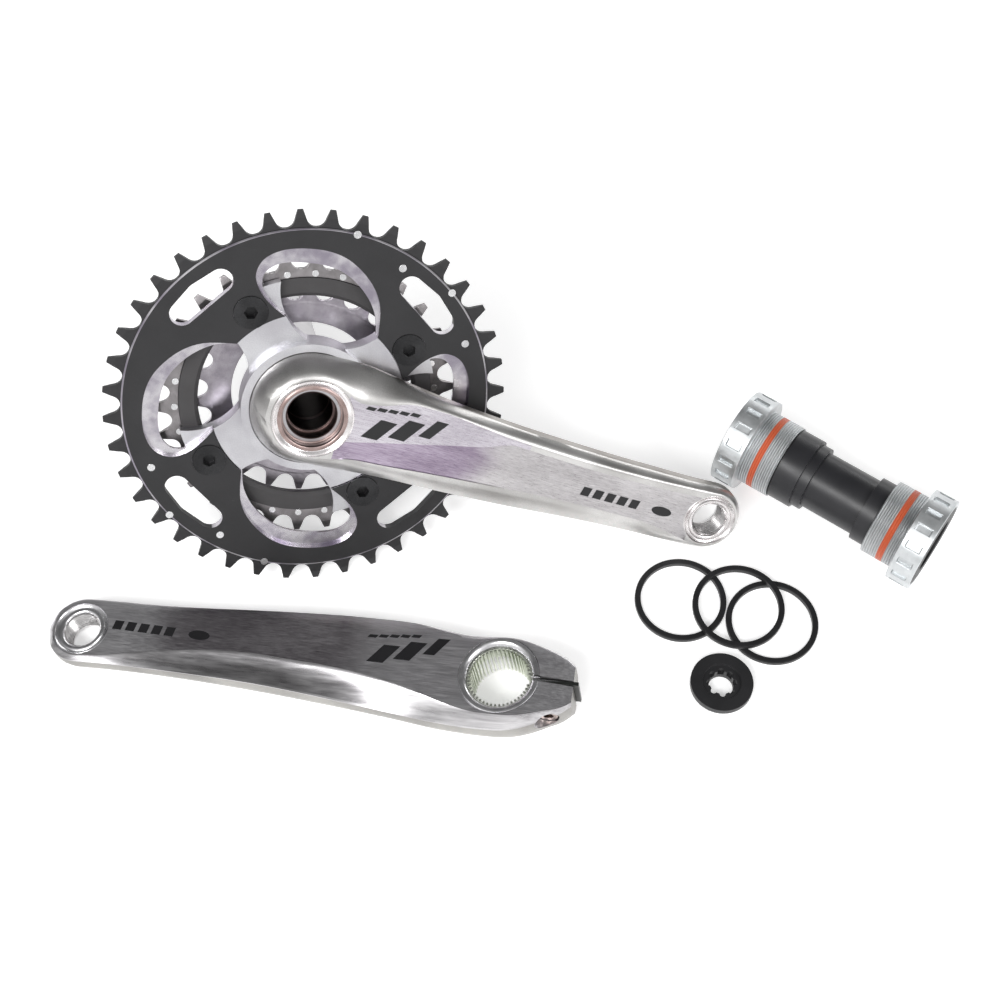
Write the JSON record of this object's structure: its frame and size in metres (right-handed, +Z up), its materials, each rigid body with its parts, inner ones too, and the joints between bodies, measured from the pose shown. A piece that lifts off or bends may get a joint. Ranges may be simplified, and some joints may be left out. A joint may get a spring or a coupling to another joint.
{
  "type": "bicycle crankset",
  "caption": "Mountain bike crankset kit: drive arm with spider, chainrings and spindle, left arm, threaded bottom bracket, shell spacers and preload cap.",
  "frame": {"origin": "centre of the kit's footprint on the table", "axes": "+X along the longer side of the layout, from the left arm's pedal end towards the bottom bracket; +Y away from the viewer; +Z up"},
  "size_m": [0.3952, 0.2346, 0.1459],
  "materials": {
    "arm_silver": "polished clear anodised, with brushed flats",
    "spider_silver": "satin clear anodised",
    "spindle_steel": "dull, slightly brown",
    "ring_black": "black anodised with bare machined ledges",
    "tooth_steel": "bright, faint purple tint",
    "carrier_composite": "dark grey carbon composite",
    "bolt_black": "black oxide",
    "bolt_steel": "plated steel",
    "plate_black": "black",
    "cup_zinc": "matt silver, orange thread compound band",
    "race_steel": "ground",
    "seal_black": "matt black",
    "cage_grey": "moulded",
    "sleeve_black": "semi-matt black",
    "o_ring": "matt black",
    "spacer_black": "semi-matt black",
    "cap_black": "semi-matt black"
  },
  "bodies": {
    "drive_side": {"drive_arm": "arm_silver", "spider": "spider_silver", "spindle": "spindle_steel", "big_ring": "ring_black", "shift_pins": "tooth_steel", "chain_drop_pin": "tooth_steel", "middle_ring_teeth": "tooth_steel", "middle_ring_carrier": "carrier_composite", "middle_ring_rivets": "tooth_steel", "small_ring": "tooth_steel", "chainring_bolts": "bolt_black", "chainring_nuts": "bolt_black", "small_ring_bolts": "bolt_steel"},
    "left_side": {"left_arm": "arm_silver"},
    "plate": {"stopper_plate": "plate_black"},
    "front_washer": {"front_pinch_washer": "bolt_steel"},
    "front_bolt": {"front_pinch_bolt": "bolt_steel"},
    "rear_washer": {"rear_pinch_washer": "bolt_steel"},
    "rear_bolt": {"rear_pinch_bolt": "bolt_steel"},
    "bracket": {"right_cup": "cup_zinc", "right_outer_race": "race_steel", "right_seal": "seal_black", "inner_sleeve": "sleeve_black", "sleeve_o_rings": "o_ring"},
    "right_inner": {"right_inner_race": "race_steel", "right_bush": "seal_black"},
    "right_ball_row": {"right_balls": "race_steel", "right_cage": "cage_grey"},
    "left_cup_side": {"left_cup": "cup_zinc", "left_outer_race": "race_steel", "left_seal": "seal_black"},
    "left_inner": {"left_inner_race": "race_steel", "left_bush": "seal_black"},
    "left_ball_row": {"left_balls": "race_steel", "left_cage": "cage_grey"},
    "lower_spacer": {"spacer_1": "spacer_black"},
    "upper_spacer": {"spacer_2": "spacer_black"},
    "outer_spacer": {"spacer_3": "spacer_black"},
    "cap": {"preload_cap": "cap_black"}
  },
  "joints": [
    {"name": "left_arm_lift", "type": "slide", "parent": "drive_side", "child": "left_side", "axis": [0, 0, 1], "range_m": [0, 0.06]},
    {"name": "plate_swing", "type": "hinge", "parent": "left_side", "child": "plate", "pos_m": [0.01747, -0.09834, 0.01905], "axis": [-0.1444, -0.9895, 0], "range_deg": [0, 20]},
    {"name": "front_bolt_draw", "type": "slide", "parent": "left_side", "child": "front_washer", "axis": [-0.1444, -0.9895, 0], "range_m": [0, 0.003]},
    {"name": "front_bolt_turn", "type": "hinge", "parent": "front_washer", "child": "front_bolt", "pos_m": [0.01747, -0.09834, 0.01905], "axis": [-0.1444, -0.9895, 0], "range_deg": [0, 1080]},
    {"name": "rear_bolt_draw", "type": "slide", "parent": "left_side", "child": "rear_washer", "axis": [0.1444, 0.9895, 0], "range_m": [0, 0.003]},
    {"name": "rear_bolt_turn", "type": "hinge", "parent": "rear_washer", "child": "rear_bolt", "pos_m": [0.01852, -0.09849, 0.01041], "axis": [0.1444, 0.9895, 0], "range_deg": [0, 1080]},
    {"name": "bracket_lift", "type": "slide", "parent": "drive_side", "child": "bracket", "axis": [0, 0, 1], "range_m": [0, 0.06]},
    {"name": "right_bearing_spin", "type": "hinge", "parent": "bracket", "child": "right_inner", "pos_m": [0.18077, -0.02977, 0.022], "axis": [0.8151, -0.5793, 0], "continuous": true},
    {"name": "right_ball_row_spin", "type": "hinge", "parent": "bracket", "child": "right_ball_row", "pos_m": [0.18077, -0.02977, 0.022], "axis": [0.8151, -0.5793, 0], "continuous": true},
    {"name": "left_cup_off", "type": "slide", "parent": "bracket", "child": "left_cup_side", "axis": [-0.8151, 0.5793, 0], "range_m": [0, 0.02]},
    {"name": "left_bearing_spin", "type": "hinge", "parent": "left_cup_side", "child": "left_inner", "pos_m": [0.10741, 0.02237, 0.022], "axis": [0.8151, -0.5793, 0], "continuous": true},
    {"name": "left_ball_row_spin", "type": "hinge", "parent": "left_cup_side", "child": "left_ball_row", "pos_m": [0.10741, 0.02237, 0.022], "axis": [0.8151, -0.5793, 0], "continuous": true},
    {"name": "spacer_1_lift", "type": "slide", "parent": "drive_side", "child": "lower_spacer", "axis": [0, 0, 1], "range_m": [0, 0.06]},
    {"name": "spacer_2_lift", "type": "slide", "parent": "lower_spacer", "child": "upper_spacer", "axis": [0, 0, 1], "range_m": [0, 0.06]},
    {"name": "spacer_3_slide", "type": "slide", "parent": "drive_side", "child": "outer_spacer", "axis": [0.9148, -0.4038, 0], "range_m": [0, 0.03]},
    {"name": "preload_cap_lift", "type": "slide", "parent": "drive_side", "child": "cap", "axis": [0, 0, 1], "range_m": [0, 0.06]}
  ],
  "couplings": [
    {"joint": "front_bolt_draw", "follows": "front_bolt_turn", "m_per_rad": 0.00015915},
    {"joint": "rear_bolt_draw", "follows": "rear_bolt_turn", "m_per_rad": 0.00015915},
    {"joint": "right_ball_row_spin", "follows": "right_bearing_spin", "ratio": 0.4484},
    {"joint": "left_ball_row_spin", "follows": "left_bearing_spin", "ratio": 0.4484}
  ]
}
